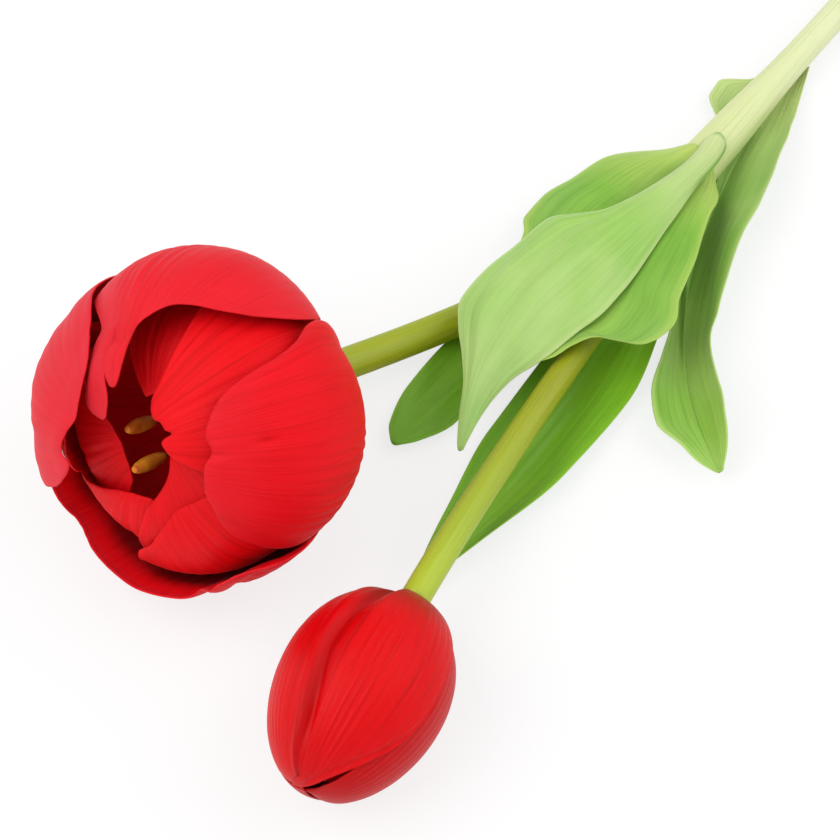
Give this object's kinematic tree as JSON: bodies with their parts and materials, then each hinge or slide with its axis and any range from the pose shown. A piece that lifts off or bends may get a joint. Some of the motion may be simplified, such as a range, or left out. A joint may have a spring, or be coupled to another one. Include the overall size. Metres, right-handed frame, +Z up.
{
  "type": "artificial tulip spray",
  "caption": "Artificial tulip spray lying flat: an open double flower and a closed bud on bent stems that fork from a main stem, with broad folded leaves round the fork.",
  "frame": {"origin": "centre of the main stem's cut end", "axes": "+X out of the cut end along the main stem, +Z up from the table that the spray lies on, +Y to the open flower's side"},
  "size_m": [0.3627, 0.1302, 0.0708],
  "materials": {
    "stem_pale": "matte, pale yellow green",
    "stem_green": "matte, olive green",
    "wire": "plain, sealed in the stems",
    "peg": "satin",
    "hub": "matte",
    "leaf_green": "soft moulded, matte, fine lengthwise veins",
    "leaf_pale": "soft moulded, matte, fine lengthwise veins",
    "leaf_deep": "soft moulded, matte, fine lengthwise veins",
    "outer_petal": "soft moulded, satin, fine veins, pale bloom at the margins",
    "inner_petal": "soft moulded, satin, fine veins",
    "bud_petal": "soft moulded, satin, fine veins",
    "filament": "matte, dark red",
    "pistil": "matte, yellow green",
    "anther": "matte, ochre",
    "filling": "soft filling, hidden"
  },
  "bodies": {
    "stems": {"main_sleeve": "stem_pale", "main_wire": "wire", "leaf_sheath": "stem_pale", "fork_core": "stem_pale", "open_sleeve": "stem_green", "open_wire": "wire", "bud_sleeve": "stem_green", "bud_wire": "wire", "open_peg": "peg", "bud_peg": "peg", "cup_leaf": "leaf_green", "front_leaf": "leaf_pale", "bud_leaf": "leaf_deep", "back_leaf": "leaf_deep", "side_leaf": "leaf_green"},
    "open_head": {"open_hub": "hub", "stamen_whorl": "filament", "pistil": "pistil", "anther_1": "anther", "anther_2": "anther", "anther_3": "anther", "anther_4": "anther", "anther_5": "anther", "anther_6": "anther", "outer_petal_top": "outer_petal", "outer_petal_left": "outer_petal", "outer_petal_low": "outer_petal", "outer_petal_right": "outer_petal", "inner_petal_1": "inner_petal", "inner_petal_2": "inner_petal", "inner_petal_3": "inner_petal", "inner_petal_4": "inner_petal", "inner_petal_5": "inner_petal", "inner_petal_6": "inner_petal", "inner_petal_7": "inner_petal", "inner_petal_8": "inner_petal"},
    "bud_head": {"bud_hub": "hub", "bud_core": "filling", "bud_tepal_1": "bud_petal", "bud_tepal_2": "bud_petal", "bud_tepal_3": "bud_petal", "bud_tepal_4": "bud_petal", "bud_tepal_5": "bud_petal", "bud_tepal_6": "bud_petal"}
  },
  "joints": [
    {"name": "open_head_pull", "type": "slide", "parent": "stems", "child": "open_head", "axis": [-0.7929, 0.0277, 0.6088], "range_m": [0, 0.012]},
    {"name": "bud_head_pull", "type": "slide", "parent": "stems", "child": "bud_head", "axis": [-0.9793, -0.1992, 0.0349], "range_m": [0, 0.012]}
  ]
}
